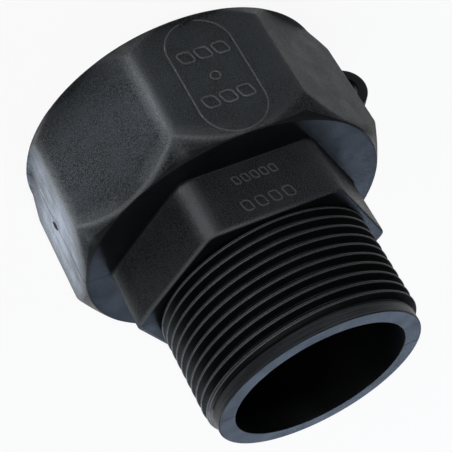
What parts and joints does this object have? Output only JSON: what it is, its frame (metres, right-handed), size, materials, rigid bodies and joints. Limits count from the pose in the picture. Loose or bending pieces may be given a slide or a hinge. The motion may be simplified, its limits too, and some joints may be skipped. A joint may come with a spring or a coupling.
{
  "type": "ibc tap adapter",
  "caption": "Moulded container outlet adapter: an octagonal socket with a coarse female thread, a spanner hexagon and a male pipe thread, with a tether eye at the mouth.",
  "frame": {"origin": "centre of the socket's mouth, on the plane of the mouth rim that the part stands on", "axes": "+Z along the common axis of both threads, from the socket mouth to the outlet tip; the parting plane is XZ, the tether eye is on the flat at -X, and the marked flat faces -Y"},
  "size_m": [0.079, 0.0704, 0.0693],
  "materials": {
    "body_plastic": "fine-grained matte black polypropylene",
    "washer_rubber": "smooth black rubber"
  },
  "bodies": {
    "root": {"adapter_body": "body_plastic", "seal_washer": "washer_rubber"}
  },
  "joints": []
}
